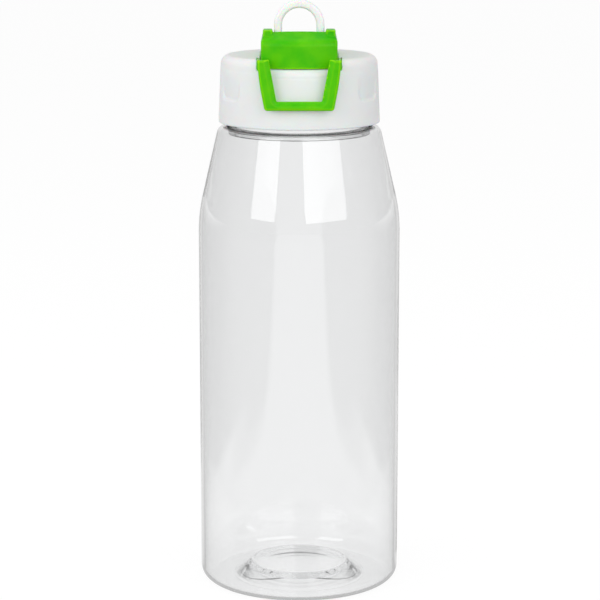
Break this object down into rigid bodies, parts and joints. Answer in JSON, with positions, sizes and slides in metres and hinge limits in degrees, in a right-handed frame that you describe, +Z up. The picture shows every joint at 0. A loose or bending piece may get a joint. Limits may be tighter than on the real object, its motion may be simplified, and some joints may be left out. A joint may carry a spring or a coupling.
{
  "type": "water bottle",
  "caption": "Clear tapered-shoulder drinking bottle with a screw lid, a hinged flip cap over the spout, a swinging lock bail and a folding carry loop.",
  "frame": {"origin": "centre of the resting ring's plane, on the bottle's axis", "axes": "+Z up along the bottle's axis, -Y towards the front, where the lock bail hangs, +X to the right seen from the front"},
  "size_m": [0.073, 0.073, 0.2146],
  "materials": {
    "clear_wall": "clear polished copolyester",
    "lid_white": "satin moulded polypropylene",
    "inner_white": "moulded polypropylene, matt inside",
    "cap_green": "satin moulded polypropylene, apple green",
    "bail_green": "satin moulded acetal, apple green",
    "loop_white": "slightly translucent moulded nylon",
    "silicone": "soft translucent silicone",
    "pin_steel": "drawn stainless steel"
  },
  "bodies": {
    "bottle": {"bottle_body": "clear_wall"},
    "lid_seal": {"lid_gasket": "silicone"},
    "lid": {"lid_shell": "lid_white", "thread_collar": "inner_white", "spout": "inner_white", "spout_gasket": "silicone", "vent_valve": "silicone", "hinge_pin": "pin_steel"},
    "cap": {"flip_cap": "cap_green", "spout_seal": "silicone", "bail_pin_left": "pin_steel", "bail_pin_right": "pin_steel", "loop_pin_left": "pin_steel", "loop_pin_right": "pin_steel"},
    "bail": {"lock_bail": "bail_green"},
    "loop": {"carry_loop": "loop_white"}
  },
  "joints": [
    {"name": "lid_rise", "type": "slide", "parent": "bottle", "child": "lid_seal", "axis": [0, 0, 1], "range_m": [0, 0.0186]},
    {"name": "lid_turn", "type": "hinge", "parent": "lid_seal", "child": "lid", "pos_m": [0, 0, 0.18], "axis": [0, 0, 1], "range_deg": [0, 830]},
    {"name": "cap_hinge", "type": "hinge", "parent": "lid", "child": "cap", "pos_m": [0, 0.015, 0.1966], "axis": [-1, 0, 0], "range_deg": [0, 130]},
    {"name": "bail_swing", "type": "hinge", "parent": "cap", "child": "bail", "pos_m": [0, -0.015, 0.1924], "axis": [-1, 0, 0], "range_deg": [0, 90]},
    {"name": "loop_swing", "type": "hinge", "parent": "cap", "child": "loop", "pos_m": [0, -0.0175, 0.2022], "axis": [-1, 0, 0], "range_deg": [0, 90]}
  ],
  "couplings": [
    {"joint": "lid_rise", "follows": "lid_turn", "m_per_rad": 0.0012732}
  ]
}
